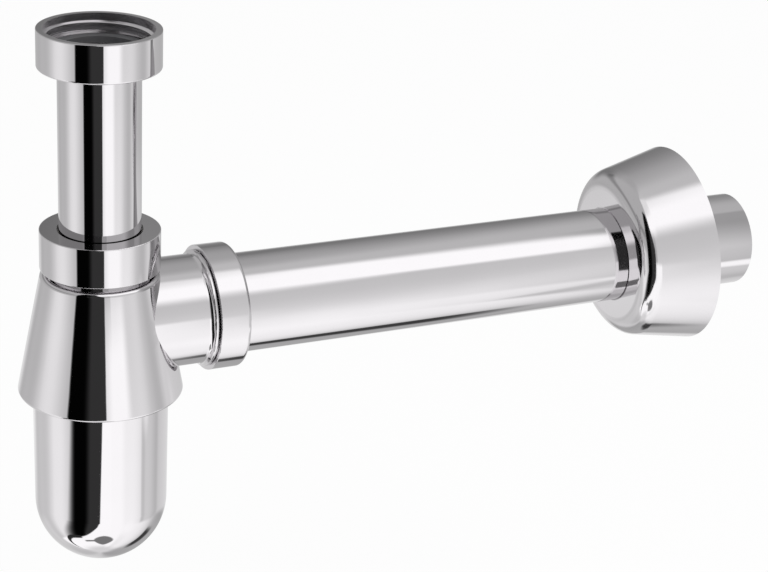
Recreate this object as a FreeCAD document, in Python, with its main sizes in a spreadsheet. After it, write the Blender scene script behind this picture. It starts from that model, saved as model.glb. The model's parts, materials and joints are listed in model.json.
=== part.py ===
# Chromed basin trap: a bottle trap with an adjustable inlet tube, a screwed cup, an outlet tube and a
# sliding wall rosette. Millimetres, +Z up. The origin is the centre of the union nut's mouth, where the
# basin waste screws in. The inlet tube hangs down from it and the outlet runs along +X to the wall.
import FreeCAD, Part
import os
from types import SimpleNamespace

import Sketcher

# Driving dimensions, one row each: name, millimetres (degrees for a lean), what it measures.
SIZES = [
    ("inlet_thread_radius", 21.0, "root of the 1 1/4 inch pipe thread in the union nut and the inlet nut"),
    ("neck_thread_core", 19.5, "core of the same thread on the body's neck"),
    ("union_nut_radius", 23.55, "union nut, outside"),
    ("union_thread_depth", 7.5, "thread of the union nut, from its mouth down to the gasket"),
    ("union_chamber_radius", 19.5, "plain bore of the union nut round the gasket and the flange"),
    ("union_lip", 3.0, "floor of the union nut, which holds the flange"),
    ("gasket_thickness", 2.5, "flat gasket under the basin waste"),
    ("gasket_overhang", 0.3, "bore of the gasket past the bore of the tube"),
    ("flange_radius", 19.2, "flange at the top of the inlet tube"),
    ("flange_thickness", 2.0, "the same flange"),
    ("edge_break", 0.3, "crisp outer edges of the nuts, broken just enough to handle"),
    ("union_nut_round", 0.9, "rounded lower edge of the union nut"),
    ("inlet_tube_radius", 15.875, "inlet tube, outside: 1 1/4 inch tube"),
    ("inlet_tube_wall", 1.0, "inlet tube"),
    ("inlet_tube_length", 180.0, "inlet tube with its flange, down to its open end in the cup"),
    ("inlet_exposed", 64.4, "inlet tube in view between the union nut and the inlet nut"),
    ("slide_gap", 0.25, "radial gap between a tube and the nuts and washers that slide on it"),
    ("seal_bore_gap", 0.1, "radial gap between a tube and its cone seal"),
    ("seat_gap", 0.05, "gap between a cone seal and its coned seat"),
    ("slip_nut_gap", 0.7, "radial gap between the inlet tube and the lip of its slip nut"),
    ("slip_nut_lip", 2.5, "lip of both slip nuts"),
    ("washer_thickness", 1.2, "slip washer under each lip"),
    ("washer_clearance", 0.5, "washer and seal head inside the thread of their nut"),
    ("seal_head", 2.0, "flat head of each cone seal"),
    ("inlet_nut_radius", 23.35, "inlet slip nut, outside"),
    ("inlet_nut_cover", 9.95, "neck thread under the inlet slip nut"),
    ("neck_gap", 2.15, "bare neck between the inlet slip nut and the body's shoulder"),
    ("neck_bore", 17.5, "bore of the body's neck"),
    ("neck_seat_radius", 18.9, "coned seat in the neck's mouth, at the end face"),
    ("seat_depth", 3.6, "depth of both coned seats"),
    ("shoulder_radius", 23.1, "top of the body's cone"),
    ("foot_radius", 32.55, "bottom of the body's cone"),
    ("body_height", 49.7, "cone, from its foot to its shoulder"),
    ("shoulder_round", 1.9, "rounded edge of the shoulder"),
    ("foot_round", 1.1, "rounded edge of the foot"),
    ("body_wall", 2.2, "side wall of the cone at its top"),
    ("roof_thickness", 2.5, "wall under the shoulder"),
    ("cavity_radius", 25.5, "straight lower part of the chamber"),
    ("socket_radius", 28.5, "root of the cup's thread in the body"),
    ("socket_depth", 7.0, "from the foot up to the seat of the cup seal"),
    ("outlet_drop", 20.75, "outlet axis below the shoulder"),
    ("stub_radius", 21.95, "outlet stub, outside"),
    ("stub_bore", 20.5, "outlet stub, inside"),
    ("stub_reach", 48.3, "from the trap's axis to the stub's end face"),
    ("stub_floor", 20.0, "from the trap's axis to where the stub's bore starts"),
    ("stub_seat_radius", 21.45, "coned seat in the stub's mouth, at the end face"),
    ("collar_radius", 23.4, "collar behind the outlet nut"),
    ("collar_width", 1.5, "the same collar along the outlet"),
    ("collar_gap", 0.25, "between the collar and the outlet nut"),
    ("collar_flare", 2.1, "hollow flare from the stub up to the collar, along the outlet"),
    ("collar_round", 0.5, "rounded edges of the collar"),
    ("outlet_nut_radius", 25.1, "outlet slip nut, outside"),
    ("outlet_nut_round", 1.8, "rounded edge of the same nut, on the wall side"),
    ("outlet_nut_cover", 7.1, "stub thread under the outlet slip nut"),
    ("outlet_thread_radius", 23.1, "root of the thread in the outlet slip nut"),
    ("cup_radius", 26.65, "cup at the foot of the body"),
    ("dome_radius", 26.25, "round bottom of the cup"),
    ("cup_side", 46.9, "cup's wall from the dome up to the foot of the body"),
    ("cup_wall", 1.2, "cup"),
    ("cup_thread_core", 27.5, "core of the thread round the cup's rim"),
    ("cup_thread_inset", 0.6, "lower end of that thread above the foot"),
    ("cup_seal_thickness", 2.0, "flat seal on the cup's rim"),
    ("cup_seal_clearance", 0.3, "radial gap at both edges of that seal"),
    ("outlet_tube_radius", 20.0, "outlet tube, outside"),
    ("outlet_tube_wall", 1.2, "outlet tube"),
    ("outlet_tube_length", 262.6, "outlet tube from end to end"),
    ("outlet_tube_insertion", 21.3, "outlet tube inside the stub"),
    ("spigot_radius", 19.75, "plain end that enters the waste pipe in the wall"),
    ("spigot_length", 27.5, "the same end"),
    ("tube_end_chamfer", 0.3, "outer edge of both tubes' open ends"),
    ("rosette_bore", 20.45, "bore of the rosette round the outlet tube"),
    ("rosette_front_radius", 35.15, "rosette's front, where its cone would meet the front face"),
    ("rosette_back_radius", 42.05, "rosette's open back"),
    ("rosette_depth", 31.85, "rosette from front to back"),
    ("rosette_wall", 1.2, "rosette"),
    ("rosette_round", 8.8, "rounded front shoulder of the rosette"),
    ("rosette_setback", 61.6, "from the rosette's front to the wall end of the tube"),
    ("rosette_pitch", 3.9, "degrees that the loose rosette leans up at the wall"),
    ("rosette_yaw", 2.3, "degrees that the loose rosette leans sideways"),
]

doc = FreeCAD.newDocument("basin_trap")
sheet = doc.addObject("Spreadsheet::Sheet", "Sizes")


class Size:
    """A length with its value and the sheet expression that gives it, so that a sum of sizes stays bound."""

    def __init__(self, value, text):
        self.value = value
        self.text = text

    def join(self, sign, other, value):
        return Size(value, "(" + self.text + " " + sign + " " + other.text + ")")

    def __add__(self, other):
        return self.join("+", other, self.value + other.value)

    def __sub__(self, other):
        return self.join("-", other, self.value - other.value)

    def __mul__(self, other):
        return self.join("*", other, self.value * other.value)

    def __truediv__(self, other):
        return self.join("/", other, self.value / other.value)

    def __neg__(self):
        return ZERO - self


ZERO = Size(0.0, "0")


def fill_sheet():
    """Put every driving dimension in the sheet and return the sizes by name."""
    sizes = {}
    for row, (name, value, note) in enumerate(SIZES, start=1):
        sheet.set("A%d" % row, note)
        sheet.set("B%d" % row, str(value))
        sheet.setAlias("B%d" % row, name)
        sizes[name] = Size(value, "Sizes." + name)
    doc.recompute()
    return SimpleNamespace(**sizes)


s = fill_sheet()

# Stations down the trap's axis, from the union nut's mouth at zero, and out along the outlet.
gasket_top = -s.union_thread_depth
flange_top = gasket_top - s.gasket_thickness
union_bottom = flange_top - s.flange_thickness - s.union_lip
inlet_nut_top = union_bottom - s.inlet_exposed
inlet_washer_top = inlet_nut_top - s.slip_nut_lip
inlet_seal_top = inlet_washer_top - s.washer_thickness
neck_top = inlet_seal_top - s.seal_head
neck_length = s.inlet_nut_cover + s.neck_gap
body_foot = neck_top - neck_length - s.body_height
outlet_axis = body_foot + s.body_height - s.outlet_drop
outlet_seal_end = s.stub_reach + s.seal_head
outlet_washer_end = outlet_seal_end + s.washer_thickness
outlet_nut_end = outlet_washer_end + s.slip_nut_lip
outlet_tube_start = s.stub_reach - s.outlet_tube_insertion
rosette_front = outlet_tube_start + s.outlet_tube_length - s.rosette_setback

# How a piece that is drawn along its own Z lies in the trap.
UPRIGHT = FreeCAD.Rotation()
INVERTED = FreeCAD.Rotation(FreeCAD.Vector(1, 0, 0), 180)
TO_WALL = FreeCAD.Rotation(FreeCAD.Vector(0, 1, 0), 90)
FROM_WALL = FreeCAD.Rotation(FreeCAD.Vector(0, 1, 0), -90)


def origin_plane(body, role):
    """The body's own origin plane of that role."""
    return next(item for item in body.Origin.OriginFeatures if item.Role == role)


def pin_corner(sketch, geometry, end, across, along):
    """Hold one corner of a sketch at two sizes, measured from the sketch's origin."""
    for kind, axis, size in (("DistanceX", -2, across), ("DistanceY", -1, along)):
        if size is ZERO:
            sketch.addConstraint(Sketcher.Constraint("PointOnObject", geometry, end, axis))
            continue
        held = sketch.addConstraint(Sketcher.Constraint(kind, -1, 1, geometry, end, size.value))
        sketch.setExpression("Constraints[%d]" % held, size.text)


def outline(body, name, corners, lift=ZERO):
    """A closed sketch on the body's XZ plane, raised by lift.

    A corner is (across, along). A corner (across, along, centre across, centre along, turn) starts an arc
    about that centre, and turn is +1 anticlockwise or -1 clockwise.
    """
    sketch = body.newObject("Sketcher::SketchObject", name)
    sketch.AttachmentSupport = (origin_plane(body, "XZ_Plane"), [""])
    sketch.MapMode = "FlatFace"
    if lift is not ZERO:
        sketch.setExpression(".AttachmentOffset.Base.y", lift.text)
    starts, ends = [], []
    for i, corner in enumerate(corners):
        after = corners[(i + 1) % len(corners)]
        here = FreeCAD.Vector(corner[0].value, corner[1].value, 0)
        there = FreeCAD.Vector(after[0].value, after[1].value, 0)
        if len(corner) == 2:
            edge = sketch.addGeometry(Part.LineSegment(here, there), False)
            starts.append((edge, 1))
            ends.append((edge, 2))
            continue
        middle = FreeCAD.Vector(corner[2].value, corner[3].value, 0)
        first, last = (here, there) if corner[4] > 0 else (there, here)
        circle = Part.Circle(middle, FreeCAD.Vector(0, 0, 1), (here - middle).Length)
        arc = Part.ArcOfCircle(circle, circle.parameter(first), circle.parameter(last))
        edge = sketch.addGeometry(arc, False)
        starts.append((edge, 1 if corner[4] > 0 else 2))
        ends.append((edge, 2 if corner[4] > 0 else 1))
    for i, (edge, end) in enumerate(ends):
        following = starts[(i + 1) % len(starts)]
        sketch.addConstraint(Sketcher.Constraint("Coincident", edge, end, following[0], following[1]))
    for (edge, end), corner in zip(starts, corners):
        pin_corner(sketch, edge, end, corner[0], corner[1])
        if len(corner) == 5:
            hold_centre(sketch, edge, corner[2])
    doc.recompute()
    if not sketch.FullyConstrained:
        raise RuntimeError("sketch " + name + " is not fully constrained")
    return sketch


def hold_centre(sketch, arc, across):
    """Hold an arc's centre across the sketch. Its two ends already give the rest."""
    if across is ZERO:
        sketch.addConstraint(Sketcher.Constraint("PointOnObject", arc, 3, -2))
        return
    held = sketch.addConstraint(Sketcher.Constraint("DistanceX", -1, 1, arc, 3, across.value))
    sketch.setExpression("Constraints[%d]" % held, across.text)


def new_body(label):
    """An empty body whose label names the piece."""
    body = doc.addObject("PartDesign::Body", label)
    body.Label = label
    return body


def turn(body, name, sketch, axis="V_Axis", cut=False):
    """Turn a sketch full circle about its own axis, as metal added or as metal cut away."""
    before = body.Shape.Volume if body.Tip else 0.0
    feature = body.newObject("PartDesign::Groove" if cut else "PartDesign::Revolution", name)
    feature.Profile = sketch
    feature.ReferenceAxis = (sketch, [axis])
    feature.Angle = 360
    doc.recompute()
    gained = body.Shape.Volume - before
    if (cut and gained >= 0) or (not cut and gained <= 0):
        raise RuntimeError(name + " changed nothing")
    return feature


def rims(body, station, side, direction=FreeCAD.Vector(0, 0, 1)):
    """Names of the round edges at one station along a direction, the outer or the inner one.

    Stations are counted from 0 at the low end, or from -1 at the high end.
    """
    rings = []
    for number, edge in enumerate(body.Shape.Edges, start=1):
        round_edge = isinstance(edge.Curve, Part.Circle) and edge.isClosed()
        if round_edge and abs(edge.Curve.Axis.dot(direction)) > 0.999:
            rings.append((round(edge.Curve.Center.dot(direction), 4), edge.Curve.Radius, number))
    level = sorted({ring[0] for ring in rings})[station]
    level_rings = [ring for ring in rings if ring[0] == level]
    chosen = (max if side == "outer" else min)(level_rings, key=lambda ring: ring[1])
    return "Edge%d" % chosen[2]


def dress(body, kind, name, edges, size):
    """Round or chamfer the named edges of the body's last feature."""
    base = body.Tip
    feature = body.newObject("PartDesign::" + kind, name)
    feature.Base = (base, edges)
    feature.setExpression("Radius" if kind == "Fillet" else "Size", size.text)
    doc.recompute()
    return feature


def place(body, x, z, rotation=UPRIGHT):
    """Set a piece in the trap at (x, 0, z), turned as given."""
    body.Placement = FreeCAD.Placement(FreeCAD.Vector(x.value, 0, z.value), rotation)
    body.setExpression(".Placement.Base.x", x.text)
    body.setExpression(".Placement.Base.z", z.text)
    return body


def flat_ring(label, outer, inner, thickness):
    """A washer or gasket: two circles padded to its thickness."""
    body = new_body(label)
    sketch = body.newObject("Sketcher::SketchObject", label + "_outline")
    sketch.AttachmentSupport = (origin_plane(body, "XY_Plane"), [""])
    sketch.MapMode = "FlatFace"
    for radius in (outer, inner):
        circle = Part.Circle(FreeCAD.Vector(0, 0, 0), FreeCAD.Vector(0, 0, 1), radius.value)
        edge = sketch.addGeometry(circle, False)
        sketch.addConstraint(Sketcher.Constraint("Coincident", edge, 3, -1, 1))
        held = sketch.addConstraint(Sketcher.Constraint("Radius", edge, radius.value))
        sketch.setExpression("Constraints[%d]" % held, radius.text)
    pad = body.newObject("PartDesign::Pad", label + "_pad")
    pad.Profile = sketch
    pad.setExpression("Length", thickness.text)
    doc.recompute()
    return body


def round_nut(label, outer, height, thread, lip, lip_bore, lip_round, chamber=None, thread_depth=None):
    """A plain round nut, drawn with its lip at the bottom and its open end up.

    The lip's outer edge has its own round and the open end's is crisp. A chamber is a plain bore, smaller
    than the thread, between the thread and the lip.
    """
    body = new_body(label)
    inside = [(thread, height), (thread, lip)]
    if chamber:
        step = height - thread_depth
        inside = [(thread, height), (thread, step), (chamber, step), (chamber, lip)]
    corners = [(lip_bore, ZERO), (outer, ZERO), (outer, height)] + inside + [(lip_bore, lip)]
    turn(body, label + "_turned", outline(body, label + "_section", corners))
    dress(body, "Fillet", label + "_lip_rounding", [rims(body, 0, "outer")], lip_round)
    dress(body, "Fillet", label + "_mouth_edge", [rims(body, -1, "outer")], s.edge_break)
    return body


def cone_seal(label, tube, head, seat, tip):
    """A seal with a flat head and a wedge that fills the coned seat. Drawn head down, wedge up."""
    body = new_body(label)
    bore = tube + s.seal_bore_gap
    wedge_end = s.seal_head + s.seat_depth
    corners = [
        (bore, ZERO),
        (head, ZERO),
        (head, s.seal_head),
        (seat - s.seat_gap, s.seal_head),
        (tip - s.seat_gap, wedge_end),
        (bore, wedge_end),
    ]
    turn(body, label + "_turned", outline(body, label + "_section", corners))
    return body


def inlet_union_nut():
    """Nut that hangs the trap on the basin waste. Its floor holds the tube's flange."""
    body = round_nut(
        "inlet_union_nut",
        s.union_nut_radius,
        -union_bottom,
        s.inlet_thread_radius,
        s.union_lip,
        s.inlet_tube_radius + s.slide_gap,
        s.union_nut_round,
        s.union_chamber_radius,
        s.union_thread_depth,
    )
    return place(body, ZERO, union_bottom)


def inlet_flat_gasket():
    """Flat ring between the waste and the flange."""
    bore = s.inlet_tube_radius - s.inlet_tube_wall + s.gasket_overhang
    body = flat_ring("inlet_flat_gasket", s.flange_radius, bore, s.gasket_thickness)
    return place(body, ZERO, flange_top)


def inlet_tube():
    """Thin tube with a flange at its top. Its lower end dips into the cup's water."""
    body = new_body("inlet_tube")
    bore = s.inlet_tube_radius - s.inlet_tube_wall
    under_flange = s.inlet_tube_length - s.flange_thickness
    corners = [
        (bore, ZERO),
        (s.inlet_tube_radius, ZERO),
        (s.inlet_tube_radius, under_flange),
        (s.flange_radius, under_flange),
        (s.flange_radius, s.inlet_tube_length),
        (bore, s.inlet_tube_length),
    ]
    turn(body, "inlet_tube_turned", outline(body, "inlet_tube_section", corners))
    dress(body, "Chamfer", "inlet_tube_end", [rims(body, 0, "outer")], s.tube_end_chamfer)
    return place(body, ZERO, flange_top - s.inlet_tube_length)


def inlet_slip_nut():
    """Nut on the body's neck, lip up. It squeezes the inlet seal on the tube."""
    body = round_nut(
        "inlet_slip_nut",
        s.inlet_nut_radius,
        s.slip_nut_lip + s.washer_thickness + s.seal_head + s.inlet_nut_cover,
        s.inlet_thread_radius,
        s.slip_nut_lip,
        s.inlet_tube_radius + s.slip_nut_gap,
        s.edge_break,
    )
    return place(body, ZERO, inlet_nut_top, INVERTED)


def inlet_slip_washer():
    """Thin ring that lets the nut turn without dragging the seal round."""
    outer = s.inlet_thread_radius - s.washer_clearance
    inner = s.inlet_tube_radius + s.slide_gap
    body = flat_ring("inlet_slip_washer", outer, inner, s.washer_thickness)
    return place(body, ZERO, inlet_seal_top)


def inlet_cone_seal():
    """Wedge seal in the neck's mouth, head up."""
    head = s.inlet_thread_radius - s.washer_clearance
    body = cone_seal("inlet_cone_seal", s.inlet_tube_radius, head, s.neck_seat_radius, s.neck_bore)
    return place(body, ZERO, inlet_seal_top, INVERTED)


def trap_body():
    """The one casting: cone, threaded neck, outlet stub with its collar, chamber and cup socket."""
    body = new_body("trap_body")
    cone = [
        (ZERO, ZERO),
        (s.foot_radius, ZERO),
        (s.shoulder_radius, s.body_height),
        (ZERO, s.body_height),
    ]
    turn(body, "cone", outline(body, "cone_section", cone))
    dress(body, "Fillet", "shoulder_rounding", [rims(body, -1, "outer")], s.shoulder_round)
    dress(body, "Fillet", "foot_rounding", [rims(body, 0, "outer")], s.foot_round)
    neck_end = s.body_height + neck_length
    neck = [
        (ZERO, s.body_height - s.roof_thickness),
        (s.neck_thread_core, s.body_height - s.roof_thickness),
        (s.neck_thread_core, neck_end),
        (ZERO, neck_end),
    ]
    turn(body, "neck", outline(body, "neck_section", neck))
    add_outlet_stub(body)
    cut_chamber(body, neck_end)
    stub_axis = s.body_height - s.outlet_drop
    bore = [
        (s.stub_floor, ZERO),
        (s.stub_reach, ZERO),
        (s.stub_reach, s.stub_seat_radius),
        (s.stub_reach - s.seat_depth, s.stub_bore),
        (s.stub_floor, s.stub_bore),
    ]
    turn(body, "stub_bore", outline(body, "stub_bore_section", bore, stub_axis), "H_Axis", cut=True)
    return place(body, ZERO, body_foot)


def add_outlet_stub(body):
    """The stub with its hollow flare and collar, turned about the outlet's axis."""
    collar_end = s.stub_reach - s.outlet_nut_cover - s.collar_gap
    collar_start = collar_end - s.collar_width
    flare_start = collar_start - s.collar_flare
    rise = s.collar_radius - s.stub_radius
    flare_bend = (s.collar_flare * s.collar_flare + rise * rise) / (rise + rise)
    stub = [
        (ZERO, ZERO),
        (s.stub_reach, ZERO),
        (s.stub_reach, s.stub_radius),
        (collar_end, s.stub_radius),
        (collar_end, s.collar_radius),
        (collar_start, s.collar_radius, flare_start, s.stub_radius + flare_bend, -1),
        (flare_start, s.stub_radius),
        (ZERO, s.stub_radius),
    ]
    section = outline(body, "stub_section", stub, s.body_height - s.outlet_drop)
    turn(body, "stub", section, "H_Axis")
    along = FreeCAD.Vector(1, 0, 0)
    edges = [rims(body, station, "outer", along) for station in collar_stations(body, along)]
    dress(body, "Fillet", "collar_rounding", edges, s.collar_round)


def collar_stations(body, along):
    """Stations of the two largest round edges about the outlet: the collar's outer edges."""
    rings = {}
    for edge in body.Shape.Edges:
        if isinstance(edge.Curve, Part.Circle) and edge.isClosed():
            if abs(edge.Curve.Axis.dot(along)) > 0.999:
                level = round(edge.Curve.Center.dot(along), 4)
                rings[level] = max(rings.get(level, 0.0), edge.Curve.Radius)
    levels = sorted(rings)
    widest = max(rings.values())
    return [levels.index(level) for level in levels if rings[level] > widest - 0.001]


def cut_chamber(body, neck_end):
    """Neck bore with its coned seat, coned chamber, straight chamber and the cup's threaded socket."""
    roof = s.body_height - s.roof_thickness
    roof_radius = s.shoulder_radius - s.body_wall
    widening = (s.cavity_radius - roof_radius) * s.body_height / (s.foot_radius - s.shoulder_radius)
    chamber = [
        (ZERO, ZERO),
        (s.socket_radius, ZERO),
        (s.socket_radius, s.socket_depth),
        (s.cavity_radius, s.socket_depth),
        (s.cavity_radius, roof - widening),
        (roof_radius, roof),
        (s.neck_bore, roof),
        (s.neck_bore, neck_end - s.seat_depth),
        (s.neck_seat_radius, neck_end),
        (ZERO, neck_end),
    ]
    turn(body, "chamber", outline(body, "chamber_section", chamber), cut=True)


def cup_seal():
    """Flat seal between the cup's rim and the body."""
    outer = s.socket_radius - s.cup_seal_clearance
    inner = s.cavity_radius + s.cup_seal_clearance
    body = flat_ring("cup_seal", outer, inner, s.cup_seal_thickness)
    return place(body, ZERO, body_foot + s.socket_depth - s.cup_seal_thickness)


def trap_cup():
    """Thin round-bottomed cup. Its rim is thicker, for the thread."""
    body = new_body("trap_cup")
    foot = s.dome_radius + s.cup_side
    rim = foot + s.socket_depth - s.cup_seal_thickness
    thread_start = foot + s.cup_thread_inset
    thread_height = s.cup_thread_core - s.cup_radius
    corners = [
        (ZERO, ZERO, ZERO, s.dome_radius, 1),
        (s.dome_radius, s.dome_radius),
        (s.cup_radius, foot),
        (s.cup_radius, thread_start),
        (s.cup_thread_core, thread_start + thread_height),
        (s.cup_thread_core, rim),
        (s.cup_radius - s.cup_wall, rim),
        (s.cup_radius - s.cup_wall, foot),
        (s.dome_radius - s.cup_wall, s.dome_radius, ZERO, s.dome_radius, -1),
        (ZERO, s.cup_wall),
    ]
    turn(body, "cup_turned", outline(body, "cup_section", corners))
    return place(body, ZERO, body_foot - foot)


def outlet_slip_nut():
    """Nut on the stub, open end towards the trap."""
    body = round_nut(
        "outlet_slip_nut",
        s.outlet_nut_radius,
        s.slip_nut_lip + s.washer_thickness + s.seal_head + s.outlet_nut_cover,
        s.outlet_thread_radius,
        s.slip_nut_lip,
        s.outlet_tube_radius + s.slide_gap,
        s.outlet_nut_round,
    )
    return place(body, outlet_nut_end, outlet_axis, FROM_WALL)


def outlet_slip_washer():
    """Thin ring between the outlet nut's lip and its seal."""
    outer = s.outlet_thread_radius - s.washer_clearance
    inner = s.outlet_tube_radius + s.slide_gap
    body = flat_ring("outlet_slip_washer", outer, inner, s.washer_thickness)
    return place(body, outlet_seal_end, outlet_axis, TO_WALL)


def outlet_cone_seal():
    """Wedge seal in the stub's mouth, head towards the wall."""
    head = s.outlet_thread_radius - s.washer_clearance
    body = cone_seal("outlet_cone_seal", s.outlet_tube_radius, head, s.stub_seat_radius, s.stub_bore)
    return place(body, outlet_seal_end, outlet_axis, FROM_WALL)


def outlet_tube():
    """Long thin tube to the wall, with a slightly smaller plain end that enters the waste pipe."""
    body = new_body("outlet_tube")
    bore = s.outlet_tube_radius - s.outlet_tube_wall
    step = s.outlet_tube_length - s.spigot_length
    corners = [
        (bore, ZERO),
        (s.outlet_tube_radius, ZERO),
        (s.outlet_tube_radius, step),
        (s.spigot_radius, step),
        (s.spigot_radius, s.outlet_tube_length),
        (bore, s.outlet_tube_length),
    ]
    turn(body, "outlet_tube_turned", outline(body, "outlet_tube_section", corners))
    ends = [rims(body, 0, "outer"), rims(body, -1, "outer")]
    dress(body, "Chamfer", "outlet_tube_ends", ends, s.tube_end_chamfer)
    return place(body, outlet_tube_start, outlet_axis, TO_WALL)


def wall_rosette():
    """Pressed conical cover, open at the back. It is loose on the tube and leans a little."""
    body = new_body("wall_rosette")
    corners = [
        (s.rosette_bore, ZERO),
        (s.rosette_front_radius, ZERO),
        (s.rosette_back_radius, s.rosette_depth),
        (s.rosette_back_radius - s.rosette_wall, s.rosette_depth),
        (s.rosette_front_radius - s.rosette_wall, s.rosette_wall),
        (s.rosette_bore, s.rosette_wall),
    ]
    turn(body, "rosette_turned", outline(body, "rosette_section", corners))
    dress(body, "Fillet", "rosette_shoulder", [rims(body, 0, "outer")], s.rosette_round)
    inner_round = s.rosette_round - s.rosette_wall
    dress(body, "Fillet", "rosette_inner_shoulder", [rims(body, 1, "outer")], inner_round)
    pitch = FreeCAD.Rotation(FreeCAD.Vector(0, 1, 0), -s.rosette_pitch.value)
    yaw = FreeCAD.Rotation(FreeCAD.Vector(0, 0, 1), -s.rosette_yaw.value)
    return place(body, rosette_front, outlet_axis, pitch * yaw * TO_WALL)


PIECES = [
    inlet_union_nut(),
    inlet_flat_gasket(),
    inlet_tube(),
    inlet_slip_nut(),
    inlet_slip_washer(),
    inlet_cone_seal(),
    trap_body(),
    cup_seal(),
    trap_cup(),
    outlet_slip_nut(),
    outlet_slip_washer(),
    outlet_cone_seal(),
    outlet_tube(),
    wall_rosette(),
]
doc.recompute()

for item in doc.Objects:
    if "Invalid" in item.State or "Error" in item.State:
        raise RuntimeError(item.Name + " failed: " + str(item.State))
for piece in PIECES:
    if piece.Shape.isNull() or not piece.Shape.isValid() or len(piece.Shape.Solids) != 1:
        raise RuntimeError(piece.Label + " is not one valid solid")

os.makedirs("parts", exist_ok=True)
for piece in PIECES:
    piece.Shape.exportStep("parts/" + piece.Label + ".step")
    box = piece.Shape.BoundBox
    print(
        "%-20s volume %9.1f  x %7.2f %7.2f  y %7.2f %7.2f  z %8.2f %8.2f"
        % (piece.Label, piece.Shape.Volume, box.XMin, box.XMax, box.YMin, box.YMax, box.ZMin, box.ZMax)
    )
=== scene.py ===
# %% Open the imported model
import json
from math import cos, pi, radians, sin

import bmesh
import bpy
from mathutils import Matrix, Vector


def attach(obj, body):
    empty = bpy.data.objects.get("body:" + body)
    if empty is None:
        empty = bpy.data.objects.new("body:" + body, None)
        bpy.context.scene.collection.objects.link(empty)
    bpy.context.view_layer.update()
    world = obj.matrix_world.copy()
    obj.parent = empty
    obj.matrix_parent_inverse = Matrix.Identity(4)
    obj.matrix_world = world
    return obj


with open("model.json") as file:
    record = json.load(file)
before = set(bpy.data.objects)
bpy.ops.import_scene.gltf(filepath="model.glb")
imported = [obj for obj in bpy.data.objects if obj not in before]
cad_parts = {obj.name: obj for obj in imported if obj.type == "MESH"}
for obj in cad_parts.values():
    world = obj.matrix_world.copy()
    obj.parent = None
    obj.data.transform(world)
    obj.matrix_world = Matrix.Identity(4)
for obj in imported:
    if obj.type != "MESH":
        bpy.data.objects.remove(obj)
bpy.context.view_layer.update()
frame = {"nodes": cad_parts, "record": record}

nodes = frame["nodes"]

# %% [markdown]
# A basin trap hangs under a washbasin and keeps some water in its cup, so that no smell
# comes up the drain. Every solid piece is already in its place, in metres, with the middle
# of the union nut's mouth at the origin, Z up along the inlet tube and X along the outlet
# tube. What is left for this file is the screw threads, which are too fine for the solids,
# the finishes, the studio and the camera. We first write down the few measures that more
# than one step needs, so that each is changed in one place only.

# %% Measures used by more than one step
MM = 0.001
outlet_axis = -117.95 * MM          # height of the outlet tube's middle line
pipe_pitch = 25.4 / 11 * MM         # 11 threads to the inch, the pipe thread of a basin waste
mirror = 0.68                       # share of the light that the chrome gives back
down_the_tube = Matrix.Identity(4)
along_the_outlet = Matrix.Translation((0, 0, outlet_axis)) @ Matrix.Rotation(pi / 2, 4, "Y")
print("pipe thread pitch in mm:", round(pipe_pitch / MM, 3))

# %% [markdown]
# Shader maths is easier to read as ordinary sums. A small class wraps the output of a node,
# and each sign adds the Math node that it stands for. One more method, node, adds any other
# kind of node: its settings come first, and then the values or links of its sockets. Soft
# edges come up in every material, so step, band, ramp and blend have names of their own.

# %% A socket that can be added and multiplied
class Value:
    def __init__(self, tree, socket=None):
        self.tree, self.socket = tree, socket

    def node(self, kind, output=0, settings=None, **inputs):
        """Add a node. Inputs go by their names, with _ for a space, or by number, as _0."""
        made = self.tree.nodes.new(kind)
        for name, setting in (settings or {}).items():
            if name == "stops":
                curve = made.mapping.curves[0]
                curve.points[0].location, curve.points[-1].location = setting[0], setting[-1]
                for where, value in setting[1:-1]:
                    curve.points.new(where, value)
                made.mapping.update()
            else:
                setattr(made, name, setting)
        for name, given in inputs.items():
            place = int(name[1:]) if name[0] == "_" else name.replace("_", " ")
            if isinstance(given, Value):
                self.tree.links.new(given.socket, made.inputs[place])
            else:
                made.inputs[place].default_value = given
        return Value(self.tree, made.outputs[output])

    def maths(self, operation, *others):
        inputs = {f"_{i}": v for i, v in enumerate((self,) + others)}
        return self.node("ShaderNodeMath", settings={"operation": operation}, **inputs)

    def __add__(self, other): return self.maths("ADD", other)
    def __sub__(self, other): return self.maths("SUBTRACT", other)
    def __mul__(self, other): return self.maths("MULTIPLY", other)
    def __truediv__(self, other): return self.maths("DIVIDE", other)
    def __pow__(self, other): return self.maths("POWER", other)
    def __rsub__(self, other): return self.maths("MULTIPLY", -1.0).maths("ADD", other)
    __radd__, __rmul__ = __add__, __mul__

    def least(self, other): return self.maths("MINIMUM", other)
    def most(self, other): return self.maths("MAXIMUM", other)

    def away(self, centre):
        """How far this is from the centre, never negative."""
        return (self - centre).maths("ABSOLUTE")

    def wrap(self, low):
        """The same angle in degrees, counted from low to low + 360."""
        return self.maths("WRAP", low + 360.0, low)

    def step(self, start, end):
        """0 at start, 1 at end and smooth between them. It falls where start is above end."""
        return self.node("ShaderNodeMapRange", settings={"interpolation_type": "SMOOTHSTEP"},
                         Value=self, From_Min=start, From_Max=end, To_Min=0.0, To_Max=1.0)

    def band(self, low, full_from, full_to, high):
        """0 outside low and high, 1 from full_from to full_to, and smooth in between."""
        return self.step(low, full_from) * self.step(high, full_to)

    def ramp(self, *stops):
        """A smooth line through stops, each (where, how much), from the lowest to the highest."""
        low, high = stops[0][0], stops[-1][0]
        share = self.node("ShaderNodeMapRange", Value=self, From_Min=low, From_Max=high)
        points = [((where - low) / (high - low), value) for where, value in stops]
        return self.node("ShaderNodeFloatCurve", settings={"stops": points}, Value=share)

    def blend(self, first, second):
        """First where this is 0, and second where it is 1."""
        return (second - first) * self + first

    def parts(self):
        x = self.node("ShaderNodeSeparateXYZ", Vector=self)
        return [Value(self.tree, output) for output in x.socket.node.outputs]

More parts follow.
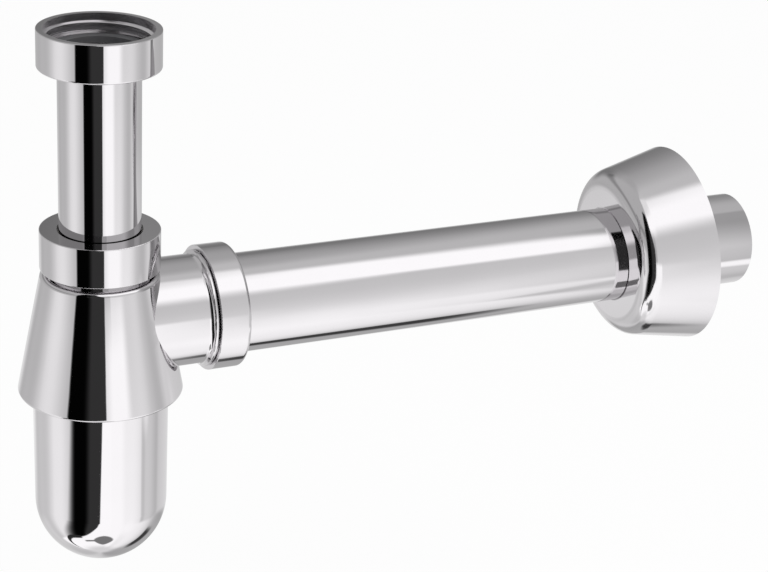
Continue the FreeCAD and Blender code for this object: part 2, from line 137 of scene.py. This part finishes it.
# %% [markdown]
# Every finish starts in the same way: a new material, its shader, and the place on the piece
# that its patterns are built on. We take that place from Object coordinates, because they are
# in metres and stay with the piece when it moves. Generated coordinates are stretched to the
# size of each piece, so the same grain would be coarser on a large piece.

# %% Start a material
def source(tree, kind, output):
    """The first value of a tree, from a node that has no inputs."""
    return Value(tree).node(kind, output)


def feed(value, shader, name):
    value.tree.links.new(value.socket, shader.inputs[name])


def new_material(name):
    """A material with its shader, and the place on the piece as a value to build patterns on."""
    made = bpy.data.materials.new(name)
    made.use_nodes = True
    tree = made.node_tree
    return made, tree.nodes["Principled BSDF"], source(tree, "ShaderNodeTexCoord", "Object")

# %% [markdown]
# The trap is brass under bright chrome. Chrome is a mirror, so most of what we see on it is
# the studio: its own part is a slightly dim tint with a touch less green, a very low
# roughness and the small faults of a real piece. We could leave it perfectly smooth, but
# then it looks like glass. Three gentle patterns make it metal: wide soft waves from
# polishing the casting by hand, fine wipe marks and wider smears that change the roughness a
# little, and a duller skin inside the bores, where neither the polishing mop nor the plating
# reaches well. The rosette is pressed sheet, which takes a duller polish than turned pieces.

# %% Bright chrome
def from_line(place, line):
    """How far a point of the piece lies from a tube's middle line, in metres."""
    x, y, z = place.parts()
    if line is along_the_outlet:
        x, y = y, z - outlet_axis
    return (x * x + y * y) ** 0.5


def chrome(name, bore=None, satin=0.2, polish=0.035, waves=0.0):
    """polish is the mean roughness, and waves the depth of the casting's waves in metres.

    bore is a tube's middle line and the radius in metres inside which satin is added.
    """
    made, shader, place = new_material(name)
    shader.inputs["Metallic"].default_value = 1.0
    marks = place.node("ShaderNodeTexNoise", Vector=place, Scale=900.0, Detail=3.0, Roughness=0.6)
    smears = place.node("ShaderNodeTexNoise", Vector=place, Scale=45.0, Detail=2.0, Roughness=0.5)
    wipe, cloud, green = 0.02, 0.03, 0.978      # swing of roughness and of tint, share of green
    rough = marks * wipe + smears * wipe + (polish - wipe)
    tint = smears * cloud + (mirror - cloud / 2)
    if bore:
        line, radius = bore
        edge = 0.05 * MM
        inside = from_line(place, line).step(radius + edge, radius - edge)
        rough = inside.blend(rough, rough * 2.0 + satin)
    colour = place.node("ShaderNodeCombineColor", Red=tint, Green=tint * green, Blue=tint)
    feed(rough, shader, "Roughness")
    feed(colour, shader, "Base Color")
    if waves:
        swell = place.node("ShaderNodeTexNoise", Vector=place, Scale=60.0, Detail=1.0)
        bump = place.node("ShaderNodeBump", Height=swell, Distance=waves, Strength=0.6)
        feed(bump, shader, "Normal")
    return made


chromed = {
    "inlet_union_nut": chrome("union_nut_chrome", (down_the_tube, 21.15 * MM), satin=0.16),
    "inlet_tube": chrome("inlet_tube_chrome", (down_the_tube, 15.5 * MM)),
    "inlet_slip_nut": chrome("inlet_nut_chrome"),
    "trap_body": chrome("body_chrome", waves=0.04 * MM),
    "trap_cup": chrome("cup_chrome"),
    "outlet_slip_nut": chrome("outlet_nut_chrome", polish=0.05),
    "outlet_tube": chrome("outlet_tube_chrome", (along_the_outlet, 19.4 * MM), polish=0.05),
    "wall_rosette": chrome("rosette_chrome", polish=0.09),
}
print("chromed pieces:", len(chromed))

# %% [markdown]
# The seals are moulded black rubber: nearly black, with a soft sheen, a faint grey bloom and
# a very fine grain from the mould. The flat gasket in the union nut is a plainer grey rubber.
# The slip washers are pale polyethylene, waxy and a little cloudy. Only slivers of them show
# when the trap is screwed together, but they come into view when a nut is backed off. All of
# them come out of moulds, so one helper sets the tone, the roughness and the mould's grain.

# %% Rubber and plastic
def moulded(shader, tone, blue, rough, grain, depth, strength):
    """A grey tone with its share of blue, its roughness, and a grain of some depth in metres."""
    colour = tone.node("ShaderNodeCombineColor", Red=tone, Green=tone, Blue=tone * blue)
    feed(colour, shader, "Base Color")
    feed(rough, shader, "Roughness")
    bump = tone.node("ShaderNodeBump", Height=grain, Distance=depth, Strength=strength)
    feed(bump, shader, "Normal")


def rubber(name, dark):
    made, shader, place = new_material(name)
    bloom = place.node("ShaderNodeTexNoise", Vector=place, Scale=220.0, Detail=4.0)
    grain = place.node("ShaderNodeTexNoise", Vector=place, Scale=3500.0, Detail=2.0)
    grey = bloom.step(0.35, 0.75) * 0.02 + dark
    moulded(shader, grey, 1.05, bloom * 0.2 + 0.45, grain, 0.05 * MM, 0.35)
    return made


def polyethylene(name):
    made, shader, place = new_material(name)
    cloud = place.node("ShaderNodeTexNoise", Vector=place, Scale=160.0, Detail=3.0)
    grain = place.node("ShaderNodeTexNoise", Vector=place, Scale=2500.0, Detail=2.0)
    pale = cloud * 0.08 + 0.66
    moulded(shader, pale, 0.95, cloud * 0.15 + 0.32, grain, 0.03 * MM, 0.3)
    return made


black_rubber, grey_rubber = rubber("black_rubber", 0.02), rubber("grey_rubber", 0.085)
pale_plastic = polyethylene("pale_polyethylene")
finish_of = dict(chromed)
for word, finish in (("seal", black_rubber), ("gasket", grey_rubber), ("washer", pale_plastic)):
    finish_of.update({name: finish for name in nodes if word in name})
for name, solid in nodes.items():
    solid.data.materials.clear()
    solid.data.materials.append(finish_of[name])
print("finished solids:", len(finish_of))

# %% [markdown]
# A screw thread is a ridge that climbs as it goes round. The solids leave it out, and are
# turned to the bottom of the ridge on a male thread and bored to its root in a nut. We could
# add rings, but rings look wrong at the end of the thread. The real tool cuts a helix, and so
# do we: the ridge's outline is spun about the axis while it climbs, a bit further than needed
# at both ends, and then cut off flat where the metal ends. The outline reaches a hair into
# the wall, so that no gap shows between the ridge and its piece.

# %% One ridge that winds round its tube
def put_in_scene(name, shape, finish):
    """A bmesh becomes an object of the scene, with its finish."""
    mesh = bpy.data.meshes.new(name)
    shape.to_mesh(mesh)
    shape.free()
    mesh.materials.append(finish)
    made = bpy.data.objects.new(name, mesh)
    bpy.context.scene.collection.objects.link(made)
    return made


def thread(name, owner, line, root, crest, pitch, start, end, steps=96):
    """A ridge from radius root to radius crest, between the heights start and end on the line."""
    flank = (-0.44, -0.10, 0.10, 0.44)      # heights across the ridge, in pitches
    spare = 0.9                             # turns at each end that are cut off again
    sink = 0.06 * MM if crest > root else -0.06 * MM    # how far it reaches into the wall
    outline = zip((root - sink, crest, crest, root - sink), flank)
    ridge = bmesh.new()
    ring = [ridge.verts.new((r, 0, start + (u - spare) * pitch)) for r, u in outline]
    sides = [ridge.edges.new((ring[i], ring[(i + 1) % 4])) for i in range(4)]
    turns = (end - start) / pitch + 2 * spare
    bmesh.ops.spin(ridge, geom=ring + sides, cent=(0, 0, 0), axis=(0, 0, 1),
                   dvec=(0, 0, pitch / steps), angle=2 * pi * turns, steps=int(turns * steps),
                   space=Matrix.Identity(4), use_merge=False, use_duplicate=False)
    for height, up in ((start, -1), (end, 1)):
        bmesh.ops.bisect_plane(ridge, geom=ridge.verts[:] + ridge.edges[:] + ridge.faces[:],
                               dist=1e-9, plane_co=(0, 0, height), plane_no=(0, 0, up),
                               clear_outer=True)
        open_edges = [e for e in ridge.edges if e.is_boundary]
        bmesh.ops.holes_fill(ridge, edges=open_edges, sides=0)
    bmesh.ops.recalc_face_normals(ridge, faces=ridge.faces[:])
    ridge.transform(line)
    made = put_in_scene(name, ridge, finish_of[owner])
    mesh = made.data
    mesh.polygons.foreach_set("use_smooth", [True] * len(mesh.polygons))
    mesh.set_sharp_from_angle(angle=radians(35))
    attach(made, next(b for b, held in frame["record"]["behaviour"]["bodies"].items()
                       if owner in held))
    print(name, "turns:", round(turns, 1), "faces:", len(mesh.polygons))

# %% [markdown]
# Four threads come into view, some of them only when a nut or the cup is off: on the neck,
# on the outlet stub, at the top of the cup, and inside the union nut. Two are pipe thread,
# and the other two are finer. The one in the nut points inwards, so its crest has the
# smaller radius, and it is turned until its ridge lies as in the photograph.

# %% The four threads
ridge_start = Matrix.Rotation(radians(-71), 4, "Z")
thread("neck_thread", "trap_body", down_the_tube, root=19.5 * MM, crest=20.95 * MM,
       pitch=pipe_pitch, start=-95.0 * MM, end=-85.1 * MM)
thread("outlet_stub_thread", "trap_body", along_the_outlet, root=21.95 * MM, crest=23.0 * MM,
       pitch=2.0 * MM, start=41.7 * MM, end=48.3 * MM)
thread("cup_thread", "trap_cup", down_the_tube, root=27.5 * MM, crest=28.35 * MM,
       pitch=1.5 * MM, start=-145.4 * MM, end=-141.95 * MM)
thread("union_nut_thread", "inlet_union_nut", ridge_start, root=21.0 * MM, crest=19.8 * MM,
       pitch=pipe_pitch, start=-7.2 * MM, end=-2.9 * MM)

# %% [markdown]
# A mirror is photographed in a light tent: a shell of white cloth with a few cards in it.
# The white fills most of the chrome, and a black card behind the camera draws the dark
# stripe that tells the eye how round each tube is. We could hang up lamps and cards one by
# one, but gaps between them would show from other sides. Here the tent is one closed sphere
# that only reflections see, and its cloth gets its brightness from the direction in which a
# point lies. The azimuth goes round from the back over the right to the front, the height is
# the angle above the middle, and both are in degrees. We write the brightness as the screen
# value that we want to see, from 0 for black to 1 for white, and turn it into light last.

# %% Directions in the light tent
def bare_material(name):
    """A material with no nodes yet, and its tree."""
    made = bpy.data.materials.new(name)
    made.use_nodes = True
    made.node_tree.nodes.clear()
    return made, made.node_tree


tent_cloth, tree = bare_material("tent_cloth")
place = source(tree, "ShaderNodeTexCoord", "Object")
x, y, z = place.node("ShaderNodeVectorMath", settings={"operation": "NORMALIZE"},
                     _0=place).parts()
azimuth = x.maths("ARCTAN2", y) * (180 / pi)
height = z.maths("ARCSINE") * (180 / pi)
turn = azimuth.wrap(-90.0)          # the azimuth again, but unbroken across the front
print("nodes for the directions:", len(tree.nodes))

# %% [markdown]
# The upper half of the tent lights the upper sides of the tubes. Its back is dim, and gets
# paler to the right and towards the top. Its left side is even, and the front is brighter.
# We could paint such a shell by hand, but a formula has no seams and no grain. Each ramp is
# one panel from its foot to its top, each step joins two panels with a soft edge, and the
# soft shadows are small amounts that are taken off.

# %% Upper half of the tent
dim = height.ramp((0, 0.42), (8, 0.44), (20, 0.485), (32, 0.545), (44, 0.605), (62, 0.63),
                  (90, 0.68))
pale = height.ramp((0, 0.60), (20, 0.62), (28, 0.66), (38, 0.68), (62, 0.72), (90, 0.74))
front = height.ramp((-90, 0.90), (-64, 0.925), (-46, 0.965), (-34, 0.945), (-22, 0.915),
                    (-14, 0.875), (-4, 0.825), (8, 0.785), (20, 0.76), (90, 0.75))
even_left = 0.66
back = azimuth.step(40.0, 74.0).blend(dim, pale)
back = back - azimuth.step(86.0, 92.0) * height.step(48.0, 42.0) * 0.08
back = back - azimuth.step(40.0, 20.0) * height.step(34.0, 20.0) * 0.04
bulge = height.step(8.0, 20.0) * 10.0
back = (azimuth + bulge).step(4.0, 34.0).blend(even_left, back)
fold = azimuth.band(-124.0, -112.0, 11.0, 20.0) * height.away(24.0).step(10.0, 1.0)
back = back - fold * 0.14
upper = azimuth.step(106.0, 132.0).blend(back, front)
print("nodes with the upper half:", len(tree.nodes))

# %% [markdown]
# The lower half is what the cone, the cup and the undersides of the tubes mirror. On its left
# the cloth is brightest straight to the left of the trap and dims to both sides, so here the
# ramp runs along the azimuth instead. Three places are then lifted a little, where the white
# table throws some light on the cloth.

# %% Lower half of the tent, on the left
left = azimuth.ramp((-180, 0.72), (-118, 0.72), (-110, 0.765), (-100, 0.83), (-90, 0.87),
                    (-80, 0.86), (-68, 0.78), (-54, 0.70), (-38, 0.69), (-22, 0.66), (30, 0.66))
left = left + height.step(-18.0, -30.0) * (azimuth.step(-86.0, -70.0) * 0.03 + 0.03)
left = left + azimuth.step(-27.0, -6.0) * height.band(-40.0, -28.0, -18.0, -5.0) * 0.12
left = left + azimuth.step(-60.0, -30.0) * height.band(-68.0, -58.0, -44.0, -36.0) * 0.04
print("nodes with the lower left:", len(tree.nodes))

# %% [markdown]
# On the right there are three layers from the middle down: the side cloth with a dark fold, a
# paler sheet below it, and the table that the tent stands on, whose edge runs a little lower
# towards the front. A small dark card hangs straight to the right, just below the middle. As
# on the left, every layer is a ramp along the azimuth, and steps along the height join them.

# %% Lower half of the tent, on the right
side = azimuth.ramp((0, 0.66), (44, 0.65), (66, 0.68), (80, 0.71), (96, 0.80), (103, 0.76),
                    (112, 0.70), (124, 0.745), (134, 0.81), (146, 0.87), (160, 0.93))
sheet = azimuth.ramp((0, 0.79), (30, 0.775), (74, 0.775), (82, 0.755), (89, 0.70), (97, 0.735),
                     (105, 0.775), (115, 0.785), (121, 0.74), (124, 0.78), (127, 0.88),
                     (133, 0.91), (160, 0.95))
table = azimuth.ramp((0, 0.77), (14, 0.75), (28, 0.60), (46, 0.60), (66, 0.62), (82, 0.68),
                     (92, 0.76), (102, 0.85), (114, 0.905), (128, 0.935), (180, 0.955))
right = side + azimuth.band(30.0, 56.0, 84.0, 94.0) * height.step(-11.0, -16.0) * 0.08
right = height.step(-20.0, -27.0).blend(right, sheet)
table_edge = height + azimuth.step(88.0, 98.0) * 3.0
right = table_edge.step(-35.0, -40.0).blend(right, table)
right = right + azimuth.step(84.0, 60.0) * height.step(-41.0, -47.0) * 0.02
right = azimuth.step(126.0, 150.0).blend(right, front)
small_card = azimuth.away(90.5).step(5.0, 2.0) * height.away(-4.5).step(4.0, 2.5)
right = right - small_card * 0.33
print("nodes with the lower right:", len(tree.nodes))

# %% [markdown]
# Now the two sides of the lower half are joined at the back, and the two halves at the
# middle. A lamp behind the cloth makes one soft bright spot on the right. A round spot would
# need a distance on the sphere, but an oval in azimuth and height is near enough and has one
# more use below.

# %% The whole cloth, with a bright spot
def oval(across, middle, half_width, centre, half_height, power):
    """1 on the rim of an oval round (middle, centre), less inside it and more outside."""
    return (across.away(middle) / half_width) ** power \
        + (height.away(centre) / half_height) ** power


lower = azimuth.step(-6.0, 18.0).blend(left, right)
cloth = height.step(-5.0, 6.0).blend(lower, upper)
spot = oval(azimuth, 117.0, 10.0, -24.5, 4.2, power=2.0).step(1.8, 0.0)
cloth = spot.blend(cloth, 0.97)
print("nodes with all of the cloth:", len(tree.nodes))

# %% [markdown]
# A large soft box hangs high on the right and reaches over the camera. It is the palest part
# of the tent, its lower rim droops on the right, and it is a little less bright at its top.
# We could make it a lamp, but its edge would be hard, and here the edge gets softer towards
# the camera. The opening of the tent below it, to the right of the camera, is nearly as white.

# %% The soft box, and the opening beside the camera
droop, lowest = 0.62, 28.0          # how steeply the rim rises, and its lowest height
rim = (126.0 - turn).most(0.0) * droop + (turn - 126.0).most(0.0).least(24.0) * droop + lowest
blur = (turn - 138.0).most(0.0).least(12.0) * 0.8
above_rim = ((height - rim + blur + 4.0) / (blur + 8.0)).step(0.0, 1.0)
soft_box = turn.band(90.0, 112.0, 202.0, 208.0) * above_rim
cloth = soft_box.blend(cloth, 0.985 - height.step(58.0, 74.0) * 0.13)
opening = turn.band(153.0, 165.0, 195.0, 210.0) * height.step(3.0, -4.0)
cloth = opening.blend(cloth, 0.975 - turn.step(180.0, 191.0) * 0.08)
print("nodes with the soft box:", len(tree.nodes))

# %% [markdown]
# The black card stands upright behind the camera, more of it on the left than on the right,
# and draws the stripe down every upright piece. Its foot widens to the left and is out of
# focus, its low edge curves up towards the right, and white ground shows below that edge.
# Its right part is dark grey and not quite black, where the camera's stand catches light.

# %% The black card
card_left, card_right, card_foot, card_top = -119.0, -169.5, -58.5, 66.0
below_bend = (-22.0 - height).most(0.0)
left_edge = below_bend * 0.80 + card_left
low_edge = ((-100.0 - azimuth).most(0.0) / 64.0) ** 2.9 * 29.0 + card_foot
above_foot = height - low_edge
ground = above_foot.step(1.0, -1.5) * azimuth.step(-44.0, -60.0) * height.step(-24.0, -28.0)
cloth = ground.blend(cloth, 0.98 - height.step(-72.0, -84.0) * 0.07)
reach = above_foot.step(-1.0, 1.5) * height.step(card_top + 2.0, card_top - 2.0)
lean = (height - 20.0).most(0.0) * 0.5
focus = below_bend * 0.6 + 2.0
card = ((left_edge - azimuth) / focus).step(-1.0, 1.0) * reach \
    * (azimuth - lean).step(card_right - 1.0, card_right + 1.0)
stand = (azimuth - below_bend * 0.5).step(-138.0, -150.0) * 0.185
cloth = card.blend(cloth, stand)
print("nodes with the black card:", len(tree.nodes))

# %% [markdown]
# The cup's round bottom mirrors the floor of the tent and everything that lies on it: a dark
# rail that runs on from the card's foot, a small grey card on a stem, a dark shadow on the
# right, and a pale patch straight below. Each is one mask with a screen value of its own, so a
# list of pairs and one loop lay them over the cloth. A bow to the power of three bends the
# rail down at its far end.

# %% What lies on the tent's floor
along = (azimuth + 92.0).most(0.0)
rail = (height + along * 0.12 + (along / 15.4) ** 3.0).away(-58.0)
rail = rail.step(3.2, 1.6) * azimuth.band(-121.0, -114.0, -62.0, -54.0)
grey_card = oval(turn, 192.0, 25.0, -66.0, 9.5, power=1.6).step(1.2, 0.8)
stem = height.away(-66.0).step(2.2, 0.8) * turn.band(206.0, 210.0, 236.0, 244.0)
shadow = azimuth.band(61.0, 74.0, 86.0, 93.0) * height.band(-73.0, -65.0, -54.0, -47.0)
patch = height.step(-76.0, -86.0)
for mask, tone in ((rail, 0.17), (grey_card, 0.45), (stem, 0.45), (shadow, 0.22), (patch, 0.82)):
    cloth = mask.blend(cloth, tone)
print("nodes with the tent's floor:", len(tree.nodes))

# %% [markdown]
# A screen value is not yet light: the screen shows it through a curve, so we undo the curve.
# The chrome also swallows a part of the light, so the cloth is brighter by that share. Then
# the sphere gets its cloth. It is hidden from the camera and from matt surfaces, and it
# throws no shadow, so it is in the way from no side.

# %% The tent itself
def to_light(screen):
    """The light that a screen shows as this value, by the curve that screens share."""
    return ((screen + 0.055) / 1.055) ** 2.4


def show(value):
    """Make this the surface of its material."""
    out = value.tree.nodes.new("ShaderNodeOutputMaterial")
    feed(value, out, "Surface")


tent_middle, tent_radius = (0, 0, -0.12), 0.65      # metres
light = to_light(cloth) / mirror
show(place.node("ShaderNodeEmission", Color=(1, 1, 1, 1), Strength=light))
shell = bmesh.new()
bmesh.ops.create_icosphere(shell, subdivisions=5, radius=tent_radius)
tent = put_in_scene("light_tent", shell, tent_cloth)
tent.location = tent_middle
tent.visible_camera = tent.visible_diffuse = tent.visible_shadow = False
tent.visible_transmission = tent.visible_volume_scatter = False
print("tent faces:", len(tent.data.polygons), "nodes:", len(tree.nodes))

# %% [markdown]
# The trap hangs from the basin, so nothing of it stands on the floor. The floor is a wide
# pale sheet well below, low enough for the cup to come off, and it keeps a faint shadow. The
# photograph has a pure white ground. More light would give that too, but it would also fall
# on the trap. For the camera alone the sheet therefore glows nearly white, and only a small
# share of it is shaded. Seen from below it is clear.

# %% Floor
floor_height, floor_half, glow_share = -0.345, 6.0, 0.92
sheet_cloth, tree = bare_material("floor_sheet")
seen = source(tree, "ShaderNodeLightPath", "Is Camera Ray")
matt = seen.node("ShaderNodeBsdfDiffuse", Color=(0.9, 0.9, 0.9, 1), Roughness=0.5)
white = seen.node("ShaderNodeEmission", Color=(1, 1, 1, 1), Strength=1.0)
lit = seen.node("ShaderNodeMixShader", _0=seen * glow_share, _1=matt, _2=white)
below = source(tree, "ShaderNodeNewGeometry", "Backfacing")
clear = seen.node("ShaderNodeBsdfTransparent")
show(seen.node("ShaderNodeMixShader", _0=below, _1=lit, _2=clear))
ground = bmesh.new()
bmesh.ops.create_grid(ground, x_segments=1, y_segments=1, size=floor_half)
bmesh.ops.translate(ground, verts=ground.verts[:], vec=(0, 0, floor_height))
floor = put_in_scene("floor", ground, sheet_cloth)
floor.visible_glossy = False

# %% [markdown]
# The rubber and the plastic hardly mirror the tent, so they need light of their own. An even
# white world lights them from all sides, a little less than the camera sees of it, and one
# square lamp over the camera's right shoulder gives them a lit side. The lamp is hidden from
# reflections, because the chrome already has its soft box.

# %% World and lamp
world_light, lamp_side, lamp_power = 0.75, 0.7, 6.0     # strength, metres, watts
world = bpy.data.worlds.new("white_room")
world.use_nodes = True
sky = world.node_tree.nodes["Background"]
sky.inputs["Color"].default_value = (1, 1, 1, 1)
seen = source(world.node_tree, "ShaderNodeLightPath", "Is Camera Ray")
feed(seen * (1.0 - world_light) + world_light, sky, "Strength")
bpy.context.scene.world = world

lamp = bpy.data.lights.new("soft_box", "AREA")
lamp.shape, lamp.size, lamp.energy = "SQUARE", lamp_side, lamp_power
holder = bpy.data.objects.new("soft_box", lamp)
holder.location = (0.55, -0.75, 0.85)
aim = Vector((0.1, 0, -0.12)) - holder.location
holder.rotation_euler = aim.to_track_quat("-Z", "Y").to_euler()
holder.visible_glossy = holder.visible_camera = False
bpy.context.scene.collection.objects.link(holder)
bpy.context.scene.view_settings.view_transform = "Standard"
print("lamp to trap in metres:", round(aim.length, 2))

# %% [markdown]
# The camera stands to the left of the trap and looks down at it, turned a little about its
# own view. Its place comes from the outlines of the tubes and nuts in the photograph: one
# set of angles puts all of them where they are. Angles are in degrees and lengths in metres,
# apart from the lens, which is in millimetres for film 36 mm wide.

# %% Camera
def stand_camera(target, distance, bearing, tilt, roll, lens):
    to_right, down, lean = radians(-bearing), radians(tilt), radians(roll)
    forward = Vector((sin(to_right) * cos(down), cos(to_right) * cos(down), -sin(down)))
    level = forward.cross(Vector((0, 0, 1))).normalized()
    upright = level.cross(forward)
    right = level * cos(lean) + upright * sin(lean)
    up = upright * cos(lean) - level * sin(lean)
    seat = Matrix((right, up, -forward)).transposed().to_4x4()
    seat.translation = target - forward * distance
    lens_data = bpy.data.cameras.new("camera")
    lens_data.sensor_width, lens_data.lens = 36.0, lens
    lens_data.clip_start = 0.01
    camera = bpy.data.objects.new("camera", lens_data)
    camera.matrix_world = seat
    bpy.context.scene.collection.objects.link(camera)
    bpy.context.scene.camera = camera
    print("camera at", [round(v, 3) for v in camera.location])


stand_camera(target=Vector((0.097940, -0.049982, -0.096399)), distance=0.83975,
             bearing=-25.66, tilt=22.42, roll=2.85, lens=102.075)
